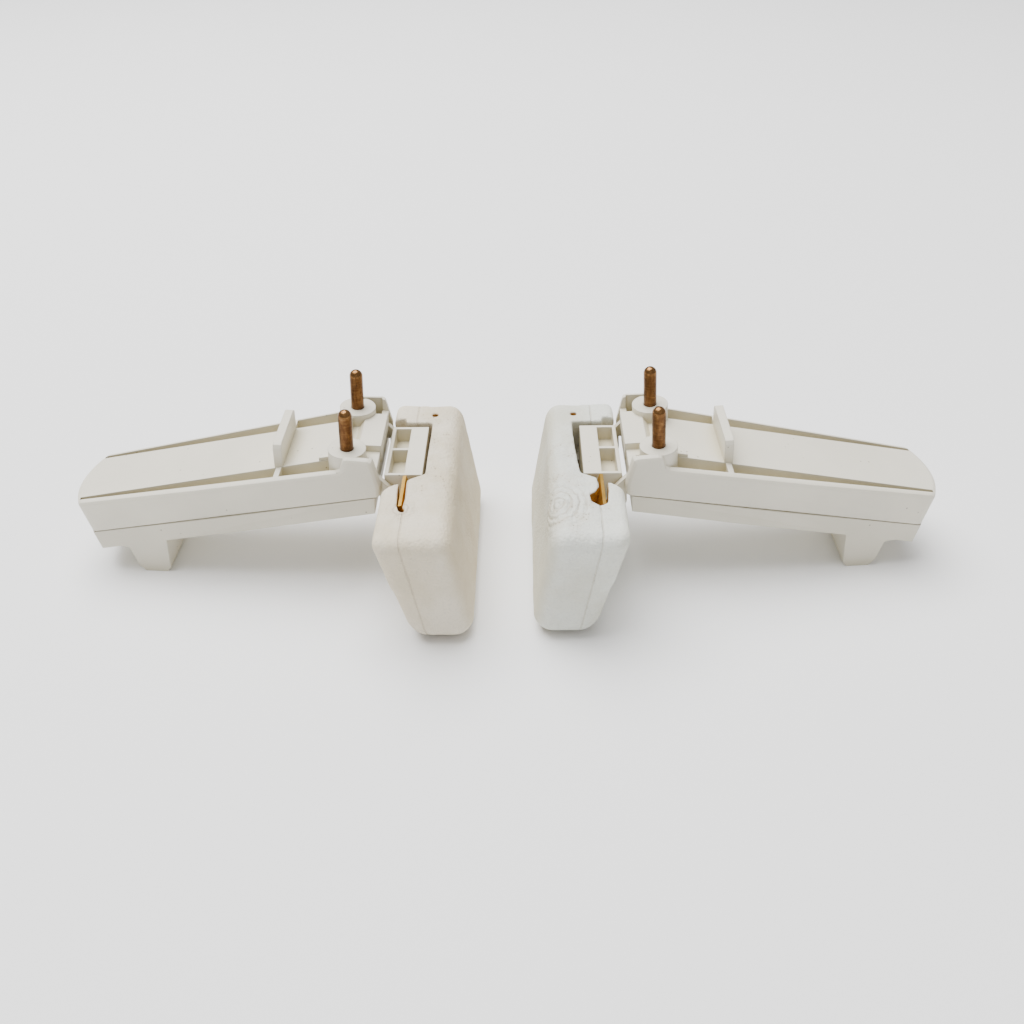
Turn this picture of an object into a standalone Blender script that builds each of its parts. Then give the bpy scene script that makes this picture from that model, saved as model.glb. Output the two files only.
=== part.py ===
"""A left and right pair of padded temple support arms, standing on a table.

Each arm is a tapered two-part plastic housing with two brass guide pins on top,
a finger foot under its free end and a foam pad hinged to its inner end.
Both hands come from one set of patterns: the left one is the right one mirrored.

A pattern is modelled in metres around the middle of its two guide pins:
+X runs outward along the arm, +Y away from the front and +Z along the pins.
"""

from math import asin, cos, pi, radians, sin

import bmesh
import bpy
from mathutils import Matrix, Vector

# Stance of each arm on the table
PIN_MIDDLE_X = 0.0542        # from the middle of the pair to the pins' middle
PIN_MIDDLE_Z = 0.0525        # height of the boss tops above the table
LEAN = radians(4.0)          # how far the pins lean inward
CLEARANCE = 0.0003           # gap between touching pieces
PIN_CLEARANCE = 0.00006      # round a pin in its hole

# Guide pins and the bosses that hold them
PIN_DIAMETER = 0.00476
PIN_SPACING = 0.028
PIN_EXPOSED = 0.0155
PIN_SUNK = 0.0112
BOSS_RADIUS = 0.0066
BOSS_STEM_RADIUS = 0.0048

# Housing in plan
END_X = -0.0108              # hinge end of the upper housing, between its side walls
EAR_X = -0.0122              # how far the side walls reach past it
COVER_END_X = -0.0102        # hinge end of the lower cover
CORNER_X = 0.0983            # where the sides meet the rounded free end
END_BULGE = 0.0046           # how far the free end bows out past its corners
HALF_WIDTH = 0.0222          # at the pins
TAPER = 0.060                # half width lost for each metre outward
WALL = 0.0022
SHOULDER_WALL = 0.0026
EDGE_RADIUS = 0.0015
PLATE_HALF_WIDTH = 0.01275

# Housing seen from the side: height at the pins and fall for each metre outward
TOP = (-0.0045, 0.240)
PARTING = (-0.0169, 0.252)
BOTTOM = (-0.0240, 0.265)
SHOULDER_TOP = 0.0006
SHOULDER_X = 0.0010          # outer end of the raised shoulders
GROOVE_DEPTH = 0.0060
SKIN = 0.0024                # thickness of plates and floors

# Deck round the bosses, and the upright fin across the plate
DECK_TOP = -0.0020
DECK_Y = (-0.0086, 0.0130)
DECK_EDGE_X = -0.0034        # where its top starts to fall toward the plate
DECK_FALL = 0.0030
BOSS_PAD_RADIUS = 0.0105
BOSS_PAD_HEIGHT = 0.0012
FIN_X = 0.0248
FIN_THICKNESS = 0.0030
FIN_TOP = -0.0009
FIN_CORNER = 0.0020
FIN_HALF_WIDTH = 0.0125
RIB_STEP = 0.0005            # the ribs beside the fin are this much thinner on each face

# Finger foot under the free end
FOOT_INNER_X = 0.0680
FOOT_OUTER_X = 0.0795
FOOT_LIP_X = 0.0862
FOOT_WALL = 0.0022

# Cover screws
SCREW_X = (0.0140, 0.0885)
SCREW_RADIUS = 0.0013
SCREW_HEAD_RADIUS = 0.0026
SCREW_HEAD = 0.0017
SCREW_LENGTH = 0.0100
POST_RADIUS = 0.0034

# Hinge: its axis runs along Y in the arm's own frame
HINGE = (-0.0146, -0.0185)
HINGE_PIN_RADIUS = 0.00125
LUG_THICKNESS = 0.0022
LUG_RADIUS = 0.0029
CARRIER_Y = (-0.0170, 0.0145)
SPRING_WINDOW = (-0.0050, 0.0010)

# Pad, in the standing frame: outline seen from the front, inward is -X here
PAD_Y = (-0.0560, 0.0295)
PAD_TOP = -0.0075
PAD_END_RADIUS = 0.0065
PAD_END_STEPS = 4
CARRIER_TOP = -0.0095
CARRIER_FLOOR = -0.0215
CARRIER_X = (-0.0258, -0.0124)
SPINE_WIDTH = 0.0064
POCKET_DEPTH = 0.0055
CARRIER_BAR = 0.0013
INSERT_THICKNESS = 0.0012

WHITE_PLASTIC = ("white_housing_plastic", (0.78, 0.77, 0.72, 1.0), 0.45, 0.0)
COVER_PLASTIC = ("white_cover_plastic", (0.74, 0.73, 0.68, 1.0), 0.5, 0.0)
BRASS = ("aged_brass", (0.38, 0.21, 0.09, 1.0), 0.38, 1.0)
STEEL = ("zinc_plated_steel", (0.62, 0.62, 0.60, 1.0), 0.35, 1.0)
PASSIVATED = ("yellow_passivated_steel", (0.66, 0.42, 0.12, 1.0), 0.45, 1.0)
FOAM = {
    "left": ("cream_skinned_foam", (0.75, 0.71, 0.62, 1.0), 0.8, 0.0),
    "right": ("white_skinned_foam", (0.74, 0.75, 0.71, 1.0), 0.8, 0.0),
}

PAIR_Y = -(PAD_Y[0] + PAD_Y[1]) / 2


def clear_scene():
    for obj in list(bpy.data.objects):
        bpy.data.objects.remove(obj, do_unlink=True)


def material(spec):
    name, colour, roughness, metallic = spec
    made = bpy.data.materials.get(name)
    if made is None:
        made = bpy.data.materials.new(name)
        made.use_nodes = True
        shader = made.node_tree.nodes["Principled BSDF"]
        shader.inputs["Base Color"].default_value = colour
        shader.inputs["Roughness"].default_value = roughness
        shader.inputs["Metallic"].default_value = metallic
        made.diffuse_color = colour
    return made


def add_object(name, mesh):
    obj = bpy.data.objects.new(name, mesh)
    bpy.context.scene.collection.objects.link(obj)
    return obj


def mesh_object(name, bm):
    mesh = bpy.data.meshes.new(name)
    bm.to_mesh(mesh)
    bm.free()
    return add_object(name, mesh)


def block(low, high):
    """A box between two opposite corners."""
    low = Vector(low)
    high = Vector(high)
    bm = bmesh.new()
    bmesh.ops.create_cube(bm, size=1.0)
    bmesh.ops.scale(bm, vec=high - low, verts=bm.verts)
    bmesh.ops.translate(bm, vec=(low + high) / 2, verts=bm.verts)
    return mesh_object("block", bm)


def rod(radius, start, end, sides=32, tip_radius=None):
    """A cylinder, or a cone where the tip radius differs, from start to end."""
    start = Vector(start)
    end = Vector(end)
    along = end - start
    bm = bmesh.new()
    bmesh.ops.create_cone(
        bm,
        cap_ends=True,
        segments=sides,
        radius1=radius,
        radius2=radius if tip_radius is None else tip_radius,
        depth=along.length,
    )
    turn = Vector((0, 0, 1)).rotation_difference(along).to_matrix()
    bmesh.ops.rotate(bm, matrix=turn, verts=bm.verts)
    bmesh.ops.translate(bm, vec=(start + end) / 2, verts=bm.verts)
    return mesh_object("rod", bm)


def curve_mesh(curve, place=None):
    """The mesh of a curve, with its caps welded on."""
    source = add_object("curve", curve)
    depsgraph = bpy.context.evaluated_depsgraph_get()
    mesh = bpy.data.meshes.new_from_object(source.evaluated_get(depsgraph))
    bpy.data.objects.remove(source, do_unlink=True)
    bm = bmesh.new()
    bm.from_mesh(mesh)
    bmesh.ops.remove_doubles(bm, verts=bm.verts, dist=1e-6)
    if place is not None:
        bmesh.ops.transform(bm, matrix=place, verts=bm.verts)
    return mesh_object("outline", bm)


def outline(points, low, high, upright=False):
    """A flat outline given thickness: along Z, or along Y when it stands upright as (X, Z) points."""
    curve = bpy.data.curves.new("outline", "CURVE")
    curve.dimensions = "2D"
    curve.fill_mode = "BOTH"
    curve.extrude = (high - low) / 2
    spline = curve.splines.new("POLY")
    spline.points.add(len(points) - 1)
    for point, (across, up) in zip(spline.points, points):
        point.co = (across, up, 0.0, 1.0)
    spline.use_cyclic_u = True
    middle = (low + high) / 2
    if upright:
        place = Matrix.Translation((0, middle, 0)) @ Matrix.Rotation(pi / 2, 4, "X")
    else:
        place = Matrix.Translation((0, 0, middle))
    return curve_mesh(curve, place)


def turned(profile, base, steps=32):
    """A solid of revolution about Z from (radius, height) points that run top to bottom."""
    bm = bmesh.new()
    corners = [bm.verts.new((radius, 0.0, height)) for radius, height in profile]
    for upper, lower in zip(corners, corners[1:]):
        bm.edges.new((upper, lower))
    obj = mesh_object("turned", bm)
    screw = obj.modifiers.new("screw", "SCREW")
    screw.steps = steps
    screw.render_steps = steps
    screw.use_merge_vertices = True
    screw.merge_threshold = 0.00001
    obj.location = base
    return frozen(obj)


def arc(centre, radius, start, end, steps):
    """Points on an arc, its angles in radians."""
    points = []
    for step in range(steps + 1):
        angle = start + (end - start) * step / steps
        points.append((centre[0] + radius * cos(angle), centre[1] + radius * sin(angle)))
    return points


def combine(base, other, operation):
    """Joins, cuts or intersects base with other, and uses the other up."""
    step = base.modifiers.new(operation.lower(), "BOOLEAN")
    step.operation = operation
    step.object = other
    step.solver = "EXACT"
    result = frozen(base)
    bpy.data.objects.remove(other, do_unlink=True)
    return result


def join(base, *others):
    for other in others:
        base = combine(base, other, "UNION")
    return base


def cut(base, *others):
    for other in others:
        base = combine(base, other, "DIFFERENCE")
    return base


def frozen(obj):
    """The object with its modifiers and its place applied to its mesh."""
    depsgraph = bpy.context.evaluated_depsgraph_get()
    depsgraph.update()
    mesh = bpy.data.meshes.new_from_object(obj.evaluated_get(depsgraph))
    mesh.transform(obj.matrix_world)
    result = add_object(obj.name, mesh)
    bpy.data.objects.remove(obj, do_unlink=True)
    return result


def softened(obj, width, segments, angle=radians(25)):
    bevel = obj.modifiers.new("bevel", "BEVEL")
    bevel.width = width
    bevel.segments = segments
    bevel.limit_method = "ANGLE"
    bevel.angle_limit = angle
    return frozen(obj)


def height(line, x):
    """Height of one of the housing's sloping lines at x."""
    return line[0] - line[1] * x


def half_width(x, inset=0.0):
    return HALF_WIDTH - TAPER * x - inset


def table_height(x):
    """Height of the table in the leaning frame of the arm."""
    return (-PIN_MIDDLE_Z - x * sin(LEAN)) / cos(LEAN)


def plan(start_x, inset=0.0):
    """The housing's outline from above, its free end bowed, drawn in by an inset."""
    corner = CORNER_X - inset
    reach = half_width(CORNER_X, inset)
    radius = (reach ** 2 + END_BULGE ** 2) / (2 * END_BULGE)
    half_angle = asin(reach / radius)
    centre = (corner + END_BULGE - radius, 0.0)
    points = [(start_x, half_width(start_x, inset)), (start_x, -half_width(start_x, inset))]
    return points + arc(centre, radius, -half_angle, half_angle, 12)


def between(upper, lower, start_x, end_x, upper_shift=0.0, lower_shift=0.0):
    """Side view of the slab between two of the sloping lines."""
    return [
        (start_x, height(lower, start_x) + lower_shift),
        (end_x, height(lower, end_x) + lower_shift),
        (end_x, height(upper, end_x) + upper_shift),
        (start_x, height(upper, start_x) + upper_shift),
    ]


FAR_X = CORNER_X + 2 * END_BULGE
DEEP = 0.040


def slab(side_view, inset, start_x):
    """The part of the plan outline, drawn in by the inset, that lies inside a side view.

    The free end stands square to the sloping top.
    """
    body = outline(plan(start_x, inset), -2 * DEEP, DEEP)
    for vertex in body.data.vertices:
        if vertex.co.x > CORNER_X / 2:
            vertex.co.x += TOP[1] * (vertex.co.z - height(TOP, CORNER_X))
    return combine(body, outline(side_view, -DEEP, DEEP, upright=True), "INTERSECT")


def groove(side, start_x, end_x):
    """The wedge of space between the plate and one side wall."""
    points = [
        (start_x, side * PLATE_HALF_WIDTH),
        (end_x, side * PLATE_HALF_WIDTH),
        (end_x, side * half_width(end_x, WALL)),
        (start_x, side * half_width(start_x, WALL)),
    ]
    body = outline(points, -2 * DEEP, DEEP)
    band = between(TOP, TOP, start_x - 0.001, end_x + 0.001, DEEP, -GROOVE_DEPTH)
    return combine(body, outline(band, -DEEP, DEEP, upright=True), "INTERSECT")


def upper_housing():
    below = PARTING[0] - EDGE_RADIUS * 3
    side_view = [
        (EAR_X, below - PARTING[1] * EAR_X),
        (FAR_X, below - PARTING[1] * FAR_X),
        (FAR_X, height(TOP, FAR_X)),
        (SHOULDER_X + 0.0022, height(TOP, SHOULDER_X + 0.0022)),
        (SHOULDER_X + 0.0008, height(TOP, SHOULDER_X) + 0.0006),
        (SHOULDER_X, SHOULDER_TOP - 0.0016),
        (SHOULDER_X - 0.0006, SHOULDER_TOP - 0.0004),
        (SHOULDER_X - 0.0018, SHOULDER_TOP),
        (END_X + 0.0026, SHOULDER_TOP),
        (END_X + 0.0013, SHOULDER_TOP - 0.0006),
        (END_X + 0.0008, SHOULDER_TOP - 0.0020),
        (EAR_X, -0.0100),
    ]
    body = softened(slab(side_view, 0.0, EAR_X - 0.001), EDGE_RADIUS, 2, radians(50))
    under = between(PARTING, PARTING, EAR_X - 0.01, FAR_X + 0.01, 0.0, -DEEP)
    body = cut(body, outline(under, -DEEP, DEEP, upright=True))

    # The well between the raised shoulders, and the grooves beside the plate
    well = half_width(0.0, SHOULDER_WALL)
    body = cut(body, block((EAR_X - 0.01, -well, -DEEP), (END_X, well, DEEP)))
    well_floor = height(TOP, 0.0)
    body = cut(body, block((END_X - 0.001, -well, well_floor), (SHOULDER_X, well, DEEP)))
    fin_low = FIN_X - FIN_THICKNESS / 2
    fin_high = FIN_X + FIN_THICKNESS / 2
    for side in (-1, 1):
        body = cut(body, groove(side, fin_high - RIB_STEP, CORNER_X))
        body = cut(body, groove(side, END_X + SKIN, fin_low + RIB_STEP))

    # Hollow underside: shallow under the grooves, deeper under the plate
    start = END_X + SKIN
    under_grooves = between(TOP, PARTING, start, FAR_X, -GROOVE_DEPTH - SKIN, -0.001)
    body = cut(body, slab(under_grooves, WALL, start))
    under_plate = between(TOP, PARTING, start, CORNER_X - 0.007, -SKIN, -0.001)
    tunnel = PLATE_HALF_WIDTH - SKIN
    body = cut(body, outline(under_plate, -tunnel, tunnel, upright=True))

    # Deck, bosses and their stems
    boss_y = PIN_SPACING / 2
    pad = rod(BOSS_PAD_RADIUS, (0, -boss_y, -DEEP), (0, -boss_y, DEEP), 40)
    pad_band = between(TOP, TOP, -0.004, 0.02, BOSS_PAD_HEIGHT, -SKIN + 0.0005)
    pad_band = outline(pad_band, -FIN_HALF_WIDTH, FIN_HALF_WIDTH, upright=True)
    body = join(body, combine(pad, pad_band, "INTERSECT"))
    body = join(body, deck())
    for side in (-1, 1):
        body = join(body, rod(BOSS_RADIUS, (0, side * boss_y, -0.0095), (0, side * boss_y, 0), 40))
        stem_foot = -PIN_SUNK - SKIN
        stem = rod(BOSS_STEM_RADIUS, (0, side * boss_y, stem_foot), (0, side * boss_y, -0.006))
        body = join(body, stem)

    # Fin across the plate
    fin_foot = height(TOP, FIN_X) - 0.0015
    fin = outline(
        [
            (-FIN_HALF_WIDTH, fin_foot),
            (FIN_HALF_WIDTH, fin_foot),
            (FIN_HALF_WIDTH, FIN_TOP - FIN_CORNER),
            (FIN_HALF_WIDTH - FIN_CORNER * 0.3, FIN_TOP - FIN_CORNER * 0.3),
            (FIN_HALF_WIDTH - FIN_CORNER, FIN_TOP),
            (-FIN_HALF_WIDTH + FIN_CORNER, FIN_TOP),
            (-FIN_HALF_WIDTH + FIN_CORNER * 0.3, FIN_TOP - FIN_CORNER * 0.3),
            (-FIN_HALF_WIDTH, FIN_TOP - FIN_CORNER),
        ],
        -FIN_THICKNESS / 2,
        FIN_THICKNESS / 2,
        upright=True,
    )
    fin.matrix_world = Matrix.Translation((FIN_X, 0, 0)) @ Matrix.Rotation(pi / 2, 4, "Z")
    body = join(body, frozen(fin))

    # Hinge lugs on the end wall
    for low, high in lug_ranges():
        body = join(body, lug(low, high))

    # Posts for the cover screws, then the holes
    for x in SCREW_X:
        body = join(body, rod(POST_RADIUS, (x, 0, post_foot(x)), (x, 0, height(TOP, x) - 0.001)))
        hole_top = screw_head_top(x) + SCREW_LENGTH + 0.001
        hole = rod(SCREW_RADIUS + CLEARANCE, (x, 0, post_foot(x) - 0.001), (x, 0, hole_top), 20)
        body = cut(body, hole)
    for side in (-1, 1):
        pin_hole = rod(
            PIN_DIAMETER / 2 + PIN_CLEARANCE,
            (0, side * boss_y, -PIN_SUNK - CLEARANCE),
            (0, side * boss_y, 0.002),
        )
        body = cut(body, pin_hole)
    hinge_hole = rod(
        HINGE_PIN_RADIUS + PIN_CLEARANCE,
        (HINGE[0], -DEEP, HINGE[1]),
        (HINGE[0], DEEP, HINGE[1]),
        24,
    )
    return cut(body, hinge_hole)


def deck():
    """The level block between the bosses, its outer side sloped and its far corner cut off."""
    near, far = DECK_Y
    low_x = END_X - 0.0004
    side_view = [
        (low_x, -0.0088),
        (DECK_EDGE_X + DECK_FALL, -0.0088),
        (DECK_EDGE_X + DECK_FALL * 0.8, DECK_TOP - DECK_FALL),
        (DECK_EDGE_X, DECK_TOP),
        (low_x, DECK_TOP),
    ]
    body = outline(side_view, near, far, upright=True)
    corner = [
        (DECK_EDGE_X - 0.0046, far + 0.001),
        (DECK_EDGE_X + 0.0040, far - 0.0060),
        (DECK_EDGE_X + 0.0040, far + 0.001),
    ]
    return cut(body, outline(corner, -DEEP, DEEP))


def lug_ranges():
    """The near and the far lug, each from its front to its back face."""
    near = CARRIER_Y[0] - CLEARANCE
    far = CARRIER_Y[1] + CLEARANCE
    return ((near - LUG_THICKNESS, near), (far, far + LUG_THICKNESS))


def lug(low, high):
    """An ear that hangs from the end wall and is round about the hinge."""
    points = [
        (END_X + 0.001, -0.0078),
        (END_X, -0.0078),
        (HINGE[0] - LUG_RADIUS, HINGE[1] + 0.0040),
    ]
    points += arc(HINGE, LUG_RADIUS, pi, 2 * pi, 12)
    points += [(HINGE[0] + LUG_RADIUS, -0.0138), (END_X + 0.001, -0.0138)]
    return outline(points, low, high, upright=True)


def post_foot(x):
    """Lower end of a screw post, just above the cover's floor."""
    return height(BOTTOM, x) + SKIN + 0.0024


def screw_head_top(x):
    return height(BOTTOM, x) + 0.0020


def cover_side_view(start_x, above, inset):
    """Side view of the lower cover with its foot, or of the hollow inside it."""
    floor = SKIN if inset else 0.0
    inner = FOOT_INNER_X + inset
    outer = FOOT_OUTER_X - inset
    lip = FOOT_LIP_X - inset
    return [
        (start_x, height(PARTING, start_x) + above),
        (FAR_X, height(PARTING, FAR_X) + above),
        (FAR_X, height(BOTTOM, FAR_X) + floor),
        (lip, height(BOTTOM, lip) + floor),
        (outer + 0.0034, height(BOTTOM, FOOT_OUTER_X) - 0.0022),
        (outer + 0.0018, table_height(outer) + inset + 0.0052),
        (outer + 0.0012, table_height(outer) + inset + 0.0028),
        (outer - 0.0012, table_height(outer - 0.0012) + inset),
        (inner + 0.0022, table_height(inner + 0.0022) + inset),
        (inner + 0.0006, table_height(inner) + inset + 0.0018),
        (inner, height(BOTTOM, inner) + floor),
        (start_x, height(BOTTOM, start_x) + floor),
    ]


def lower_cover():
    body = slab(cover_side_view(COVER_END_X, -CLEARANCE, 0.0), 0.0, COVER_END_X)
    start = COVER_END_X + SKIN
    body = cut(body, slab(cover_side_view(start, 0.002, FOOT_WALL), WALL, start))
    for x in SCREW_X:
        floor = height(BOTTOM, x)
        seat = rod(SCREW_HEAD_RADIUS + 0.0014, (x, 0, floor + 0.0014), (x, 0, post_foot(x) - CLEARANCE), 24)
        body = join(body, seat)
        head_room = SCREW_HEAD_RADIUS + CLEARANCE
        body = cut(body, rod(head_room, (x, 0, floor - 0.004), (x, 0, screw_head_top(x) + CLEARANCE), 24))
        body = cut(body, rod(SCREW_RADIUS + CLEARANCE, (x, 0, floor), (x, 0, post_foot(x) + 0.001), 20))
    return body


def guide_pin():
    radius = PIN_DIAMETER / 2
    tip = PIN_EXPOSED - radius
    dome = [(radius * cos(a), tip + radius * sin(a)) for a in (pi / 2, pi / 3, pi / 5, pi / 12)]
    dome[0] = (0.0, PIN_EXPOSED)
    shank = [(radius, tip), (radius, -PIN_SUNK + 0.0005), (radius - 0.0005, -PIN_SUNK), (0.0, -PIN_SUNK)]
    return turned(dome + shank, (0, 0, 0))


def cover_screw():
    """A thread-forming screw, head down, its head's top face at the origin's height."""
    shank = rod(SCREW_RADIUS, (0, 0, -0.0004), (0, 0, SCREW_LENGTH - 0.002), 20)
    point = rod(SCREW_RADIUS, (0, 0, SCREW_LENGTH - 0.0022), (0, 0, SCREW_LENGTH), 20, 0.0004)
    head = softened(rod(SCREW_HEAD_RADIUS, (0, 0, -SCREW_HEAD), (0, 0, 0), 24), 0.0004, 1)
    screw = join(head, shank, point)
    slot_depth = 0.0008
    half_slot = 0.0017
    for width in ((0.0004, half_slot), (half_slot, 0.0004)):
        low = (-width[0], -width[1], -SCREW_HEAD - 0.001)
        high = (width[0], width[1], -SCREW_HEAD + slot_depth)
        screw = cut(screw, block(low, high))
    return screw


def standing(x, z):
    """A point (x, z) of the leaning arm frame in the upright frame of the pad."""
    return (x * cos(LEAN) - z * sin(LEAN), z * cos(LEAN) + x * sin(LEAN))


HINGE_STANDING = standing(*HINGE)
NOTCH_GAP = 0.0012
NEAR_LIP = (-0.0200, -0.0222)
NEAR_LIP_SLANT = 0.80
INSERT_TOP = (-0.0198, PAD_TOP - 0.0014)
INSERT_FOOT = (-0.0300, -PIN_MIDDLE_Z + 0.0080)
EAR_Y = (-0.0360, CARRIER_Y[0] - 0.0012)
INSERT_Y = (-0.0440, 0.0180)
CARRIER_SCREW_Y = (-0.0120, 0.0080)
CARRIER_SCREW_Z = -0.0265
CARRIER_SCREW_RADIUS = 0.0011
FLANGE_THICKNESS = 0.0030


def filleted(points, radii, steps=4):
    """A convex outline, drawn anticlockwise or clockwise, with each of its corners rounded."""
    rounded = []
    count = len(points)
    for index, radius in enumerate(radii):
        corner = Vector(points[index])
        before = (Vector(points[index - 1]) - corner).normalized()
        after = (Vector(points[(index + 1) % count]) - corner).normalized()
        half = before.angle(after) / 2
        centre = corner + (before + after).normalized() * (radius / sin(half))
        start = corner + before * (radius * cos(half) / sin(half)) - centre
        finish = corner + after * (radius * cos(half) / sin(half)) - centre
        sweep = start.angle_signed(finish)
        for step in range(steps + 1):
            angle = -sweep * step / steps
            turned_x = start.x * cos(angle) - start.y * sin(angle)
            turned_y = start.x * sin(angle) + start.y * cos(angle)
            rounded.append((centre.x + turned_x, centre.y + turned_y))
    return rounded


def pad_outline():
    """The pad seen from the front: 26 mm thick on top, leaning inward as it goes down."""
    corners = [(-0.0114, PAD_TOP), (-0.0219, -PIN_MIDDLE_Z), (-0.0453, -PIN_MIDDLE_Z), (-0.0376, PAD_TOP)]
    return filleted(corners, (0.0035, 0.0080, 0.0080, 0.0055))


def pad_block():
    """The foam before it is cut: the outline drawn along Y, shrinking into rounded ends."""
    points = pad_outline()
    middle_x = sum(x for x, z in points) / len(points)
    middle_z = (PAD_TOP - PIN_MIDDLE_Z) / 2
    half_thick = (max(x for x, z in points) - min(x for x, z in points)) / 2
    half_tall = (PAD_TOP + PIN_MIDDLE_Z) / 2
    bm = bmesh.new()
    rings = []
    for end, direction in zip(PAD_Y, (1, -1)):
        turns = range(PAD_END_STEPS + 1) if direction > 0 else range(PAD_END_STEPS, -1, -1)
        for step in turns:
            angle = pi / 2 * step / PAD_END_STEPS
            y = end + direction * PAD_END_RADIUS * (1 - cos(angle))
            inset = PAD_END_RADIUS * (1 - sin(angle))
            across = 1 - inset / half_thick
            up = 1 - inset / half_tall
            ring = []
            for x, z in points:
                place = (middle_x + (x - middle_x) * across, y, middle_z + (z - middle_z) * up)
                ring.append(bm.verts.new(place))
            rings.append(ring)
    for first, second in zip(rings, rings[1:]):
        for index in range(len(points)):
            nxt = (index + 1) % len(points)
            bm.faces.new((first[index], first[nxt], second[nxt], second[index]))
    bm.faces.new(rings[0])
    bm.faces.new(rings[-1])
    bmesh.ops.recalc_face_normals(bm, faces=bm.faces)
    return mesh_object("foam", bm)


def pad_foam():
    """The skinned foam block, notched for the carrier and slit over the insert's ear."""
    body = pad_block()
    body = cut(body, outline(notch_outline(), CARRIER_FLOOR - 0.0012, 0.01))
    low_notch = block(
        (CARRIER_X[0] - 0.0014, CARRIER_Y[0] + 0.0018, CARRIER_SCREW_Z - 0.0062),
        (0.0, CARRIER_Y[1] - 0.0030, CARRIER_FLOOR),
    )
    body = cut(body, low_notch)
    for y in CARRIER_SCREW_Y:
        body = cut(body, screw_hole(y, CARRIER_SCREW_RADIUS + 2 * CLEARANCE))
    return cut(body, insert_slab(CLEARANCE), ear_slit())


def notch_outline():
    """The foam's notch from above: close round the carrier, open toward the arm."""
    inner = CARRIER_X[0] - NOTCH_GAP
    outer = 0.0020
    lug_face = HINGE_STANDING[0] - LUG_RADIUS - 0.0008
    lip_x, lip_y = NEAR_LIP
    return [
        (inner, CARRIER_Y[0] - 0.0010),
        (inner + 0.0030, CARRIER_Y[0] - 0.0022),
        (lip_x, lip_y),
        (outer, lip_y - NEAR_LIP_SLANT * (outer - lip_x)),
        (outer, lug_ranges()[1][1] + 0.0012),
        (lug_face, lug_ranges()[1][1] + 0.0012),
        (lug_face, CARRIER_Y[1] + 0.0010),
        (inner, CARRIER_Y[1] + 0.0010),
    ]


def insert_slab(gap):
    """The steel insert plate, or with a gap the room that the foam leaves for it."""
    along, normal = insert_axes()
    foot = Vector((INSERT_FOOT[0], 0, INSERT_FOOT[1]))
    length = (Vector((INSERT_TOP[0], 0, INSERT_TOP[1])) - foot).length
    shoulder = (CARRIER_FLOOR - 0.0018 - INSERT_FOOT[1]) / along.z + gap
    top = length + (0.02 if gap else 0.0)
    points = [
        (INSERT_Y[0] - gap, -gap),
        (INSERT_Y[1] + gap, -gap),
        (INSERT_Y[1] + gap, shoulder),
        (EAR_Y[1] + gap, shoulder),
        (EAR_Y[1] + gap, top),
        (EAR_Y[0] - gap, top),
        (EAR_Y[0] - gap, shoulder),
        (INSERT_Y[0] - gap, shoulder),
    ]
    half = INSERT_THICKNESS / 2 + gap
    plate = outline(points, -half, half)
    turn = Matrix((Vector((0, 1, 0)), along, normal)).transposed().to_4x4()
    plate.matrix_world = Matrix.Translation(foot) @ turn
    return frozen(plate)


def insert_axes():
    """Unit vectors up along the insert plate, and out of its face toward the arm."""
    along = Vector((INSERT_TOP[0] - INSERT_FOOT[0], 0, INSERT_TOP[1] - INSERT_FOOT[1])).normalized()
    return along, Vector((along.z, 0, -along.x))


def screw_hole(y, radius):
    """The line of a carrier screw, as a cutter through the flange and the insert plate."""
    normal = insert_axes()[1]
    middle = Vector((insert_x(CARRIER_SCREW_Z), y, CARRIER_SCREW_Z))
    return rod(radius, middle - normal * 0.004, middle + normal * 0.008, 20)


def ear_slit():
    """The split in the foam's top skin that shows the insert's ear."""
    points = [
        (NEAR_LIP[0] + 0.0016, NEAR_LIP[1] + 0.0016),
        (NEAR_LIP[0] - 0.0030, NEAR_LIP[1] + 0.0016),
        (NEAR_LIP[0] - 0.0018, EAR_Y[0] + 0.0060),
        (NEAR_LIP[0] - 0.0004, EAR_Y[0] - 0.0006),
        (NEAR_LIP[0] + 0.0012, EAR_Y[0] + 0.0040),
    ]
    return outline(points, PAD_TOP - 0.0060, 0.01)


def pad_insert():
    plate = insert_slab(0.0)
    for y in CARRIER_SCREW_Y:
        plate = cut(plate, screw_hole(y, CARRIER_SCREW_RADIUS + CLEARANCE))
    return plate


def insert_x(z):
    """Middle of the insert plate at a height."""
    share = (z - INSERT_TOP[1]) / (INSERT_FOOT[1] - INSERT_TOP[1])
    return INSERT_TOP[0] + (INSERT_FOOT[0] - INSERT_TOP[0]) * share


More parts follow.
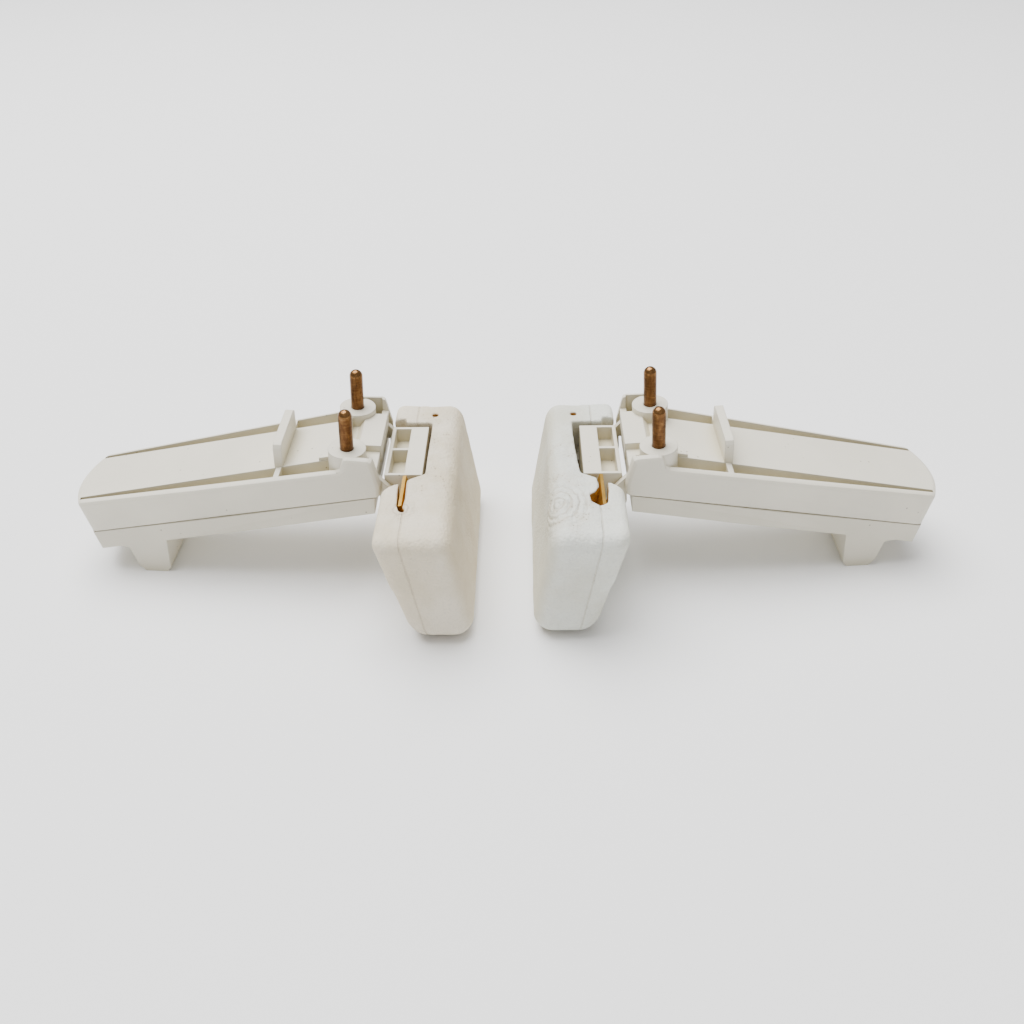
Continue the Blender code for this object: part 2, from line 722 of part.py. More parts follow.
def pad_carrier():
    """The ladder-shaped carrier: spine, two pockets, hinge barrel and a flange for the insert."""
    near, far = CARRIER_Y
    inner, outer = CARRIER_X
    body = block((inner, near, CARRIER_FLOOR), (outer, far, CARRIER_TOP))
    start = (HINGE_STANDING[0], near, HINGE_STANDING[1])
    end = (HINGE_STANDING[0], far, HINGE_STANDING[1])
    barrel = rod(0.0026, start, end, 24)
    body = join(body, barrel)
    low = CARRIER_SCREW_Z - 0.0040
    high = CARRIER_FLOOR + 0.001
    gap = (INSERT_THICKNESS / 2 + CLEARANCE) / insert_axes()[0].z
    flange = [
        (insert_x(low) + gap, low),
        (insert_x(low) + gap + FLANGE_THICKNESS, low),
        (insert_x(high) + gap + FLANGE_THICKNESS, high),
        (insert_x(high) + gap, high),
    ]
    body = join(body, outline(flange, near + 0.0036, far - 0.0036, upright=True))
    pocket_left = outer - CARRIER_BAR
    pocket_right = inner + SPINE_WIDTH
    middle = (near + far) / 2 + 0.0008
    rib = CARRIER_BAR / 2
    for low, high in ((near + CARRIER_BAR, middle - rib), (middle + rib, far - CARRIER_BAR)):
        pocket = block(
            (pocket_right, low, CARRIER_TOP - POCKET_DEPTH),
            (pocket_left, high, CARRIER_TOP + 0.001),
        )
        body = cut(body, pocket)
    floor = CARRIER_TOP - POCKET_DEPTH
    hole_x = outer - 0.0036
    hole_y = middle + 0.0045
    body = cut(body, rod(0.0006, (hole_x, hole_y, floor - 0.0016), (hole_x, hole_y, floor + 0.001), 12))
    slot_low = (outer - 0.0034, near + 0.0040, floor - 0.0016)
    slot_high = (outer - 0.0020, near + 0.0086, floor + 0.001)
    body = cut(body, block(slot_low, slot_high))
    window = block(
        (HINGE_STANDING[0] - 0.0040, SPRING_WINDOW[0], HINGE_STANDING[1] - 0.0040),
        (0.0, SPRING_WINDOW[1], HINGE_STANDING[1] + 0.0029),
    )
    body = cut(body, window)
    hole = rod(
        HINGE_PIN_RADIUS + PIN_CLEARANCE,
        (HINGE_STANDING[0], -DEEP, HINGE_STANDING[1]),
        (HINGE_STANDING[0], DEEP, HINGE_STANDING[1]),
        24,
    )
    body = cut(body, hole)
    for y in CARRIER_SCREW_Y:
        body = cut(body, screw_hole(y, CARRIER_SCREW_RADIUS + CLEARANCE))
    return body


def carrier_screw(y):
    """A short screw, its head on the flange and its tip through the insert plate."""
    normal = insert_axes()[1]
    middle = Vector((insert_x(CARRIER_SCREW_Z), y, CARRIER_SCREW_Z))
    seat = middle + normal * (INSERT_THICKNESS / 2 + 2 * CLEARANCE + FLANGE_THICKNESS * normal.x)
    head = softened(rod(0.0021, seat, seat + normal * 0.0013, 24), 0.0003, 1)
    return join(head, rod(CARRIER_SCREW_RADIUS, seat - normal * 0.0062, seat + normal * 0.0006, 20))


def hinge_pin():
    low = lug_ranges()[0][0] - 0.0004
    high = lug_ranges()[1][1] + 0.0004
    return softened(rod(HINGE_PIN_RADIUS, (0, low, 0), (0, high, 0), 24), 0.0002, 1)


def hinge_spring():
    """A torsion spring round the hinge pin, in the window of the carrier's barrel."""
    wire = 0.0006
    coil_radius = HINGE_PIN_RADIUS + CLEARANCE + wire / 2 + 0.0001
    turns = 4.0
    steps = int(turns * 12)
    low = SPRING_WINDOW[0] + 0.0008
    pitch = (SPRING_WINDOW[1] - 0.0008 - low) / turns
    points = [(coil_radius, low, -0.0026)]
    for step in range(steps + 1):
        angle = 2 * pi * step / 12
        y = low + pitch * angle / (2 * pi)
        points.append((coil_radius * cos(angle), y, coil_radius * sin(angle)))
    points.append((coil_radius, low + pitch * turns, 0.0021))
    curve = bpy.data.curves.new("spring", "CURVE")
    curve.dimensions = "3D"
    curve.bevel_depth = wire / 2
    curve.bevel_resolution = 2
    curve.use_fill_caps = True
    spline = curve.splines.new("POLY")
    spline.points.add(len(points) - 1)
    for point, place in zip(spline.points, points):
        point.co = (*place, 1.0)
    return curve_mesh(curve)


def mirrored(mesh):
    """A copy of a right-hand mesh as its left-hand twin."""
    twin = mesh.copy()
    twin.transform(Matrix.Scale(-1, 4, (1, 0, 0)))
    twin.flip_normals()
    return twin


def add_pair(parents, name, pattern, look, place=(0, 0, 0)):
    """Adds a pattern to the right arm, and its mirror image to the left one, and uses it up."""
    for side, parent in parents.items():
        mesh = pattern.data.copy() if side == "right" else mirrored(pattern.data)
        mesh.name = side + "_" + name
        mesh.materials.clear()
        mesh.materials.append(material(look[side] if isinstance(look, dict) else look))
        mesh.shade_smooth()
        mesh.set_sharp_from_angle(angle=radians(32))
        piece = bpy.data.objects.new(side + "_" + name, mesh)
        bpy.data.collections["temple_support_pair"].objects.link(piece)
        piece.parent = parent
        piece.location = place if side == "right" else (-place[0], place[1], place[2])
    bpy.data.objects.remove(pattern, do_unlink=True)


def frames():
    """An empty for each arm at its pins' middle, and one for each pad on its hinge axis."""
    arms = {}
    pads = {}
    collection = bpy.data.collections["temple_support_pair"]
    for side, sign in (("left", -1), ("right", 1)):
        arm = bpy.data.objects.new(side + "_arm_frame", None)
        arm.location = (sign * PIN_MIDDLE_X, PAIR_Y, PIN_MIDDLE_Z)
        arm.rotation_euler = (0, -sign * LEAN, 0)
        collection.objects.link(arm)
        arms[side] = arm
        pad = bpy.data.objects.new(side + "_pad_hinge", None)
        pad.location = (
            sign * (PIN_MIDDLE_X + HINGE_STANDING[0]),
            PAIR_Y,
            PIN_MIDDLE_Z + HINGE_STANDING[1],
        )
        collection.objects.link(pad)
        pads[side] = pad
    return arms, pads


def build():
    clear_scene()
    collection = bpy.data.collections.new("temple_support_pair")
    bpy.context.scene.collection.children.link(collection)
    arms, pads = frames()

    add_pair(arms, "upper_housing", upper_housing(), WHITE_PLASTIC)
    add_pair(arms, "lower_cover", lower_cover(), COVER_PLASTIC)
    for name, side in (("front_guide_pin", -1), ("rear_guide_pin", 1)):
        add_pair(arms, name, guide_pin(), BRASS, (0, side * PIN_SPACING / 2, 0))
    for name, x in zip(("inner_cover_screw", "outer_cover_screw"), SCREW_X):
        add_pair(arms, name, cover_screw(), STEEL, (x, 0, screw_head_top(x)))
    add_pair(arms, "hinge_pin", hinge_pin(), STEEL, (HINGE[0], 0, HINGE[1]))

    from_hinge = (-HINGE_STANDING[0], 0, -HINGE_STANDING[1])
    add_pair(pads, "pad_carrier", pad_carrier(), WHITE_PLASTIC, from_hinge)
    add_pair(pads, "hinge_spring", hinge_spring(), STEEL)
    add_pair(pads, "pad_insert_plate", pad_insert(), PASSIVATED, from_hinge)
    for name, y in zip(("front_carrier_screw", "rear_carrier_screw"), CARRIER_SCREW_Y):
        add_pair(pads, name, carrier_screw(y), STEEL, from_hinge)
    add_pair(pads, "pad_foam", pad_foam(), FOAM, from_hinge)


build()
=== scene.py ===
"""Looks for a left and right pair of padded temple support arms on a pale table.

The hard parts keep their shapes and get worn plastic, tarnished brass and plated steel.
The foam pads and the guide pins are modelled afresh. All sizes are in metres.
"""

import math

import bmesh
import bpy
import numpy as np
from bpy.props import BoolProperty, FloatProperty, FloatVectorProperty, PointerProperty
from mathutils import Matrix, Vector, noise
from mathutils.bvhtree import BVHTree


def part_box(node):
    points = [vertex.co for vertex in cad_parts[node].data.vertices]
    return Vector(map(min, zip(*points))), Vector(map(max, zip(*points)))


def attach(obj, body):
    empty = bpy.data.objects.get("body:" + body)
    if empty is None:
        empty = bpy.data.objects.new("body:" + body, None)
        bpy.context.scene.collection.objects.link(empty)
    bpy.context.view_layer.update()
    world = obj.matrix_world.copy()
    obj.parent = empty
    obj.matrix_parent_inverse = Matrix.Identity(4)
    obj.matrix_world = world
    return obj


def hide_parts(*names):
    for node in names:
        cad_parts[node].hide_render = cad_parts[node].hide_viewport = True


bl_info = {
    "name": "Temple Support Arms",
    "version": (1, 0, 0),
    "blender": (4, 5, 0),
    "location": "View3D > Sidebar > Support Arms",
    "description": "Finishes and soft pads for a pair of padded temple support arms",
    "category": "Object",
}

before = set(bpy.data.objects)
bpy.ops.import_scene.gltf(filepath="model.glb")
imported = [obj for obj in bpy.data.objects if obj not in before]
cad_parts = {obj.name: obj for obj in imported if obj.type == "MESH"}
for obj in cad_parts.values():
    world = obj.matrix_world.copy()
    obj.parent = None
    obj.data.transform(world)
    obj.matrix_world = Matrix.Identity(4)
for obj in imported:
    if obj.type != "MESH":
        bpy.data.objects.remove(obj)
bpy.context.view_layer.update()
SIDES = {"left": -1, "right": 1}

PIN_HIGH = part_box("right_front_guide_pin")[1]
FOAM_LOW, FOAM_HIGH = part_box("right_pad_foam")
# The pins' middle on the right arm: the origin that the pads are laid out from
ORIGIN = Vector((0.0542, 0.01325, 0.0525))
PIN_LEAN = math.radians(4.0)
PIN_HALF_LENGTH = 0.01335
# The pad's top edges toward the head and toward the arm, and how far its sides spread downward
INNER_EDGE = -0.0376
OUTER_EDGE = -0.0114
INNER_LEAN = 0.171
OUTER_LEAN = 0.2333
# The mould seam, as a line across the pad's top that leans with its sides
SEAM_LINE = -0.0212
SEAM_LEAN = 0.165
# How far the shaped pads reach past the solid ones
FAR_REACH = 0.0014
LEFT_NEAR_REACH = 0.0019
SLIT_DEPTH = 0.0085
CREASE_STRETCH = 0.75


def colour_property(name, description, default):
    return FloatVectorProperty(
        name=name, description=description, subtype="COLOR", size=3, min=0.0, max=1.0, default=default
    )


class PlasticSettings(bpy.types.PropertyGroup):
    """Finish of the white mouldings."""

    housing: colour_property("Housing", "Colour of the clean housing plastic", (0.74, 0.70, 0.585))
    # The colour that hollows are blended to: the plastic's yellowing together with painted shade.
    yellowing_and_shade: colour_property("Yellowed", "Colour of the plastic where it has aged", (0.55, 0.49, 0.32))
    roughness: FloatProperty(
        name="Roughness", description="How dull the plastic is", min=0.0, max=1.0, default=0.42
    )
    edge_radius: FloatProperty(
        name="Edge radius",
        description="Radius that edges are shaded with",
        default=0.00055,
        min=0.0,
        unit="LENGTH",
    )


class FoamSettings(bpy.types.PropertyGroup):
    """Shape and finish of the two foam pads."""

    cream: colour_property("Cream", "Skin of the left pad", (0.76, 0.69, 0.555))
    white: colour_property("White", "Skin of the right pad", (0.735, 0.75, 0.685))
    core: colour_property("Core", "Foam where the skin is torn", (0.30, 0.15, 0.03))
    edge: FloatProperty(
        name="Edge radius", description="Rounding of the pads", default=0.0062, min=0.001, unit="LENGTH"
    )
    grain: FloatProperty(
        name="Grain", description="Spacing of the surface points", default=0.00046, min=0.0003, unit="LENGTH"
    )


class BrassSettings(bpy.types.PropertyGroup):
    """Finish of the guide pins."""

    bright: colour_property("Bright", "Rubbed brass", (0.40, 0.21, 0.075))
    tarnish: colour_property("Tarnish", "Brown tarnish", (0.085, 0.036, 0.012))


class StageSettings(bpy.types.PropertyGroup):
    """Table and light."""

    floor: colour_property("Table", "Colour of the table", (0.94, 0.94, 0.94))
    key: FloatProperty(
        name="Main light", description="Power of the overhead softbox", default=118.0, min=0.0, unit="POWER"
    )
    fill: FloatProperty(name="Fill", description="Strength of the surroundings", default=0.55, min=0.0)
    shadows: BoolProperty(name="Shadows", description="Whether the lights cast shadows", default=True)


class Socket:
    """A shader value that takes part in Python arithmetic."""

    def __init__(self, look, socket):
        self.look = look
        self.socket = socket

    def math(self, operation, *others):
        values = dict(enumerate((self, *others)))
        return self.look.node("ShaderNodeMath", {"operation": operation}, values)

    def __add__(self, other):
        return self.math("ADD", other)

    def __radd__(self, other):
        return self.math("ADD", other)

    def __sub__(self, other):
        return self.math("SUBTRACT", other)

    def __rsub__(self, other):
        return self.look.node("ShaderNodeMath", {"operation": "SUBTRACT"}, {0: other, 1: self})

    def __mul__(self, other):
        return self.math("MULTIPLY", other)

    def __rmul__(self, other):
        return self.math("MULTIPLY", other)

    def __abs__(self):
        return self.math("ABSOLUTE")


class Look:
    """One material and the nodes behind it."""

    def __init__(self, name):
        self.material = bpy.data.materials.new(name)
        self.material.use_nodes = True
        self.tree = self.material.node_tree
        self.shader = self.tree.nodes["Principled BSDF"]

    def node(self, kind, settings=None, inputs=None, output=0):
        """Adds a node: its settings first, then the values or links of its sockets."""
        made = self.tree.nodes.new(kind)
        for name, value in (settings or {}).items():
            setattr(made, name, value)
        for name, value in (inputs or {}).items():
            self.set(made.inputs[name], value)
        return Socket(self, made.outputs[output])

    def set(self, target, value):
        if isinstance(value, Socket):
            self.tree.links.new(value.socket, target)
        elif isinstance(value, (tuple, list)) and len(value) == 3 and target.type == "RGBA":
            target.default_value = (*value, 1.0)
        else:
            target.default_value = value

    def place(self, scale=(1, 1, 1), turn=(0, 0, 0), shift=(0, 0, 0)):
        """Object coordinates, turned and stretched."""
        where = self.node("ShaderNodeTexCoord", output="Object")
        inputs = {"Vector": where, "Scale": scale, "Rotation": turn, "Location": shift}
        return self.node("ShaderNodeMapping", {"vector_type": "POINT"}, inputs)

    def axes(self):
        where = self.node("ShaderNodeTexCoord", output="Object")
        split = self.node("ShaderNodeSeparateXYZ", {}, {"Vector": where})
        outputs = split.socket.node.outputs
        return [Socket(self, outputs[index]) for index in range(3)]

    def noise(self, scale, detail=3.0, roughness=0.55, at=None, distortion=0.0):
        inputs = {
            "Vector": at or self.place(),
            "Scale": scale,
            "Detail": detail,
            "Roughness": roughness,
            "Distortion": distortion,
        }
        return self.node("ShaderNodeTexNoise", {}, inputs)

    def cells(self, scale, feature="F1", at=None):
        inputs = {"Vector": at or self.place(), "Scale": scale}
        return self.node("ShaderNodeTexVoronoi", {"feature": feature}, inputs)

    def band(self, value, low, high, to_low=0.0, to_high=1.0):
        """A smooth step from to_low to to_high as the value goes from low to high."""
        inputs = {"Value": value, 1: low, 2: high, 3: to_low, 4: to_high}
        settings = {"interpolation_type": "SMOOTHSTEP", "clamp": True}
        return self.node("ShaderNodeMapRange", settings, inputs)

    def blend(self, factor, first, second, how="MIX"):
        settings = {"data_type": "RGBA", "blend_type": how, "clamp_factor": True}
        return self.node("ShaderNodeMix", settings, {0: factor, 6: first, 7: second}, output=2)

    def near(self, centre, radius, softness=0.5):
        """1 within a soft ball round a point, 0 outside it."""
        where = self.node("ShaderNodeTexCoord", output="Object")
        apart = self.node(
            "ShaderNodeVectorMath", {"operation": "DISTANCE"}, {0: where, 1: tuple(centre)}, output="Value"
        )
        return self.band(apart, radius * (1 - softness), radius * (1 + softness), 1.0, 0.0)

    def bump(self, height, distance, strength=1.0, under=None):
        inputs = {"Height": height, "Distance": distance, "Strength": strength}
        if under is not None:
            inputs["Normal"] = under
        return self.node("ShaderNodeBump", {}, inputs)

    def finish(self, colour=None, roughness=None, metallic=None, normal=None, **constants):
        for name, value in (
            ("Base Color", colour),
            ("Roughness", roughness),
            ("Metallic", metallic),
            ("Normal", normal),
        ):
            if value is not None:
                self.set(self.shader.inputs[name], value)
        for name, value in constants.items():
            self.shader.inputs[name.replace("_", " ")].default_value = value
        return self.material


def put_material(piece, material):
    piece.data.materials.clear()
    piece.data.materials.append(material)


def worn_plastic(name, tint, settings):
    """White moulded plastic: faint clouding, painted shade with yellowing in hollows, fine scuffs and dust
    specks.
    """
    look = Look(name)
    clouds = look.noise(26.0, 4.0, 0.6)
    occlusion_shade = look.node(
        "ShaderNodeAmbientOcclusion", {"samples": 6, "only_local": False}, {"Distance": 0.009}, output="AO"
    )
    clean = tuple(channel * shade for channel, shade in zip(settings.housing, tint))
    dull = tuple(channel * 0.93 for channel in clean)
    colour = look.blend(look.band(clouds, 0.35, 0.70), clean, dull)
    # Painted shade: hollows found by ambient occlusion are blended toward a darker yellow, which also stands
    # for the plastic's yellowing.
    colour = look.blend(look.band(occlusion_shade, 0.10, 0.85, 0.85, 0.0), colour, tuple(settings.yellowing_and_shade))
    specks = look.cells(260.0)
    chosen = look.noise(60.0, 2.0)
    spots = look.band(specks, 0.060, 0.095, 1.0, 0.0) * look.band(chosen, 0.52, 0.58)
    colour = look.blend(spots * 0.70, colour, (0.16, 0.11, 0.06))
    scuffs = look.noise(420.0, 5.0, 0.7, look.place((1.0, 0.06, 0.25), (0.0, 0.3, 0.5)))
    rubbed = look.band(scuffs, 0.60, 0.72)
    roughness = look.band(clouds, 0.3, 0.7, settings.roughness - 0.05, settings.roughness + 0.07)
    roughness = roughness + rubbed * 0.12
    rounded = look.node("ShaderNodeBevel", {"samples": 6}, {"Radius": settings.edge_radius})
    grain = look.noise(2600.0, 2.0, 0.5)
    normal = look.bump(grain, 0.00003, 0.5, rounded)
    normal = look.bump(look.noise(90.0, 2.0), 0.00016, 0.35, normal)
    normal = look.bump(rubbed, 0.00002, 0.4, normal)
    return look.finish(colour, roughness, None, normal, IOR=1.49, Specular_IOR_Level=0.42)


def tarnished_brass(settings):
    """Old brass: brown tarnish in mottles and rings, with a painted highlight on the domed tips."""
    look = Look("tarnished_brass")
    mottle = look.noise(700.0, 5.0, 0.65, look.place((1.0, 1.0, 0.45)))
    rings = look.noise(1500.0, 3.0, 0.6, look.place((0.15, 0.15, 1.6)))
    height = look.axes()[2]
    # Painted highlight: the top few millimetres of each domed tip are lightened.
    tip_highlight = look.band(height, PIN_HIGH.z - 0.0042, PIN_HIGH.z - 0.0005)
    rubbed = look.band(mottle, 0.40, 0.68) * 0.32 + look.band(rings, 0.48, 0.66) * 0.22
    # From here the rubbed mask holds both the random rubbed wear and the painted highlight on the tips.
    rubbed = (rubbed + tip_highlight * 0.45).math("MINIMUM", 1.0)
    middle = tuple(0.62 * b + 0.38 * t for b, t in zip(settings.bright, settings.tarnish))
    colour = look.blend(rubbed, tuple(settings.tarnish), middle)
    colour = look.blend(look.band(mottle, 0.62, 0.74) * 0.3, colour, tuple(settings.bright))
    dark = look.band(look.noise(380.0, 4.0, 0.7), 0.58, 0.70)
    colour = look.blend(dark * 0.65, colour, (0.045, 0.022, 0.012))
    roughness = look.band(rubbed, 0.0, 1.0, 0.34, 0.18) + dark * 0.14
    normal = look.bump(mottle, 0.00002, 0.4)
    normal = look.bump(rings, 0.00003, 0.4, normal)
    return look.finish(colour, roughness, None, normal, Metallic=0.92)


def plated_metal(name, colour, roughness):
    """Plated steel with fine brushing and dull patches."""
    look = Look(name)
    patches = look.noise(300.0, 4.0, 0.6)
    brushing = look.noise(3000.0, 2.0, 0.5, look.place((1.0, 0.05, 1.0)))
    shade = look.blend(look.band(patches, 0.40, 0.70), colour, tuple(channel * 0.72 for channel in colour))
    rough = look.band(patches, 0.35, 0.70, roughness, roughness + 0.18)
    return look.finish(shade, rough, None, look.bump(brushing, 0.00003, 0.5), Metallic=1.0)


def seam_distance(look, side):
    """How far a point is from the pad's mould seam, which leans with the pad."""
    x, y, z = look.axes()
    outward = x * SIDES[side] - ORIGIN.x
    return abs(outward - SEAM_LINE - (z - FOAM_HIGH.z) * SEAM_LEAN)


def skinned_foam(side, skin, core, tears):
    """Self-skinned foam: pores, wrinkles, a mould seam, dirt, painted shade in hollows and crease troughs, and
    a brown core in its tears.
    """
    look = Look(side + "_foam_skin")
    blotches = look.noise(38.0, 4.0, 0.6)
    fine = look.noise(240.0, 4.0, 0.65)
    dull = tuple(channel * shade for channel, shade in zip(skin, (0.88, 0.85, 0.78)))
    colour = look.blend(look.band(blotches, 0.38, 0.68), skin, dull)
    colour = look.blend(look.band(fine, 0.52, 0.70) * 0.22, colour, tuple(channel * 0.80 for channel in skin))
    freckles = look.noise(1100.0, 3.0, 0.6)
    darker = tuple(channel * 0.72 for channel in skin)
    colour = look.blend(look.band(freckles, 0.50, 0.66) * 0.30, colour, darker)
    # Painted shade: hollows found by ambient occlusion are darkened to brown.
    occlusion_shade = look.node("ShaderNodeAmbientOcclusion", {"samples": 6}, {"Distance": 0.005}, output="AO")
    colour = look.blend(look.band(occlusion_shade, 0.10, 0.75, 0.55, 0.0), colour, (0.30, 0.22, 0.11))

    seam = seam_distance(look, side)
    groove = look.band(seam, 0.00010, 0.00042, 1.0, 0.0)
    x, _, z = look.axes()
    # The side toward the head is blended to tan in blotches, within about 4 mm of that side.
    inner_side_gap = x * SIDES[side] - ORIGIN.x - INNER_EDGE + (FOAM_HIGH.z - z) * INNER_LEAN
    inner_side_tan = look.band(inner_side_gap, -0.0002, 0.0040, 0.75, 0.0) * look.band(blotches, 0.25, 0.60, 0.5, 1.0)
    tan = tuple(channel * shade for channel, shade in zip(skin, (0.80, 0.74, 0.62)))
    colour = look.blend(inner_side_tan, colour, tan)
    colour = look.blend(groove * 0.30, colour, (0.40, 0.33, 0.22))

    worn = None
    for centre, radius in tears:
        patch = look.near(centre, radius, 0.6)
        worn = patch if worn is None else worn.math("MAXIMUM", patch)
    middle, reach = tears[0]
    shift = (-middle[0], -middle[1] * CREASE_STRETCH, -middle[2])
    rings = look.node(
        "ShaderNodeTexWave",
        {"wave_type": "RINGS", "rings_direction": "SPHERICAL", "wave_profile": "SIN"},
        {
            "Vector": look.place((1.0, CREASE_STRETCH, 1.0), shift=shift),
            "Scale": 130.0,
            "Distortion": 3.5,
            "Detail": 2.0,
            "Detail Scale": 3.0,
            "Detail Roughness": 0.6,
        },
        output="Fac",
    )
    creased = rings * look.near(middle, reach, 0.45)
    # Painted shade: the troughs of the crease rings are darkened.
    creases = look.band(rings, 0.0, 0.30, 1.0, 0.0) * look.near(middle, reach, 0.45)
    colour = look.blend(creases * 0.42, colour, (0.36, 0.28, 0.20))
    pits = look.cells(900.0)
    picked = look.noise(180.0, 3.0, 0.6)
    holes = look.band(pits, 0.16, 0.26, 1.0, 0.0) * look.band(picked, 0.52, 0.62) * worn
    colour = look.blend(holes * 0.85, colour, (0.30, 0.21, 0.11))
    colour = look.blend(worn * look.band(picked, 0.40, 0.75) * 0.35, colour, (0.60, 0.50, 0.33))

    torn = look.node("ShaderNodeAttribute", {"attribute_name": "core"}, output="Fac")
    streaks = look.noise(900.0, 5.0, 0.7, look.place((1.0, 0.4, 1.0)))
    inside = look.blend(look.band(streaks, 0.35, 0.65), tuple(core), tuple(channel * 1.7 for channel in core))
    colour = look.blend(torn, colour, inside)

    leather = look.cells(1150.0, "SMOOTH_F1")
    wrinkles = look.noise(170.0, 5.0, 0.72, look.place((1.0, 0.55, 0.8), (0.2, 0.1, 0.6)), 1.6)
    height = leather * 0.5 + look.noise(2300.0, 2.0) * 0.4
    normal = look.bump(height, 0.0006, 0.75)
    normal = look.bump(creased, 0.0004, 0.5, normal)
    normal = look.bump(wrinkles, 0.00055, 0.42, normal)
    normal = look.bump(wrinkles * worn, 0.0011, 0.55, normal)
    normal = look.bump(groove, -0.00022, 0.8, normal)
    normal = look.bump(holes, -0.0005, 0.8, normal)
    roughness = look.band(fine, 0.35, 0.70, 0.55, 0.72) + torn * 0.15
    return look.finish(colour, roughness, None, normal, IOR=1.45, Specular_IOR_Level=0.32)


def mesh_piece(name, bm):
    """Adds a bmesh to the scene as an object at the origin, and frees it."""
    mesh = bpy.data.meshes.new(name)
    bm.to_mesh(mesh)
    bm.free()
    piece = bpy.data.objects.new(name, mesh)
    bpy.context.scene.collection.objects.link(piece)
    return piece


def applied(piece):
    """Applies the live modifiers of a piece to its mesh."""
    depsgraph = bpy.context.evaluated_depsgraph_get()
    mesh = bpy.data.meshes.new_from_object(piece.evaluated_get(depsgraph))
    piece.modifiers.clear()
    piece.data = mesh
    return piece


def rounded_block(edge, near, far):
    """The right pad's foam before it is cut, its corners rounded, reaching from near to far."""
    bm = bmesh.new()
    bmesh.ops.create_cube(bm, size=1.0)
    bmesh.ops.subdivide_edges(bm, edges=bm.edges, cuts=47, use_grid_fill=True)
    half = Vector((0.0131, (far - near) / 2, (FOAM_HIGH.z - FOAM_LOW.z) / 2))
    for vertex in bm.verts:
        share = vertex.co * 2
        low = 0.5 - 0.5 * share.z
        radius = edge * (0.86 + 0.48 * low) * (0.82 if share.x > 0 and share.z > 0 else 1.0)
        corner = Vector([share[axis] * half[axis] for axis in range(3)])
        core = Vector([max(radius - half[axis], min(half[axis] - radius, corner[axis])) for axis in range(3)])
        out = corner - core
        if out.length > 1e-9:
            reach = max(abs(out.x), abs(out.y), abs(out.z))
            corner = core + out.normalized() * reach
        vertex.co = corner
    for vertex in bm.verts:
        height = vertex.co.z + half.z
        drop = 2 * half.z - height
        outer = OUTER_EDGE - OUTER_LEAN * drop
        inner = INNER_EDGE - INNER_LEAN * drop
        share = (vertex.co.x + half.x) / (2 * half.x)
        bow = 0.0006 * math.sin(math.pi * min(1.0, max(0.0, share)))
        vertex.co.x = ORIGIN.x + inner + (outer - inner) * share
        vertex.co.y += (far + near) / 2
        vertex.co.z = height + FOAM_LOW.z - bow * (1.0 if height > half.z else 0.0)
    return bm


def prism(points, low, high):
    """A closed prism over a plan outline given in millimetres from the pins' middle."""
    bm = bmesh.new()
    corners = [bm.verts.new((ORIGIN.x + x / 1000, ORIGIN.y + y / 1000, low)) for x, y in points]
    face = bm.faces.new(corners)
    grown = bmesh.ops.extrude_face_region(bm, geom=[face])["geom"]
    lifted = [item for item in grown if isinstance(item, bmesh.types.BMVert)]
    bmesh.ops.translate(bm, verts=lifted, vec=(0, 0, high - low))
    bmesh.ops.recalc_face_normals(bm, faces=bm.faces)
    return mesh_piece("cutter", bm)


def cut_with(piece, cutter):
    cut = piece.modifiers.new("cut", "BOOLEAN")
    cut.operation = "DIFFERENCE"
    cut.solver = "EXACT"
    cut.object = cutter
    applied(piece)
    bpy.data.objects.remove(cutter, do_unlink=True)


def notch_plan(side):
    """Plan of the notch round the carrier: the right pad has shrunk away from the carrier's spine."""
    gape = 1.5 if side == "right" else 0.1
    return [
        (-26.9, -18.0),
        (-24.0, -19.6),
        (-20.0, -22.2),
        (3.0, -40.6),
        (3.0, 18.2),
        (-17.2, 18.2),
        (-17.2, 15.7),
        (-27.0 - gape, 15.7),
        (-27.0 - gape, 9.0),
        (-27.0 - gape * 0.9, 0.0),
        (-27.0 - gape * 0.5, -10.0),
    ]


def slit_plan(side):
    """Plan of the torn slit over the insert's ear."""
    if side == "left":
        return [
            (-17.9, -19.0),
            (-20.9, -19.0),
            (-20.9, -27.0),
            (-21.0, -33.0),
            (-20.6, -37.4),
            (-21.6, -39.2),
            (-20.8, -40.6),
            (-19.8, -38.6),
            (-19.0, -36.0),
            (-18.7, -30.0),
            (-18.4, -24.0),
        ]
    return [
        (-17.9, -19.0),
        (-21.4, -19.0),
        (-20.9, -26.5),
        (-22.6, -29.6),
        (-24.4, -30.8),
        (-24.0, -34.6),
        (-21.2, -37.0),
        (-18.9, -35.8),
        (-18.2, -29.0),
        (-18.1, -23.0),
    ]


def seam_groove(place):
    """Depth of the mould seam at a point of the right pad's skin."""
    apart = abs(place.x - ORIGIN.x - SEAM_LINE - (place.z - FOAM_HIGH.z) * SEAM_LEAN)
    return 0.00016 * max(0.0, 1.0 - apart / 0.0007)


def creases(place):
    """Height of the ring-shaped creases that handling has left at the right pad's near corner."""
    centre = Vector((ORIGIN.x - 0.0355, ORIGIN.y - 0.036, FOAM_HIGH.z - 0.001))
    away = place - centre
    reach = math.hypot(away.x, away.y * CREASE_STRETCH, away.z)
    fade = max(0.0, min(1.0, (0.0125 - reach) / 0.0060))
    wander = noise.noise(place * 130.0) * 0.0011
    return 0.00015 * fade * math.sin(2 * math.pi * (reach + wander) / 0.0021)


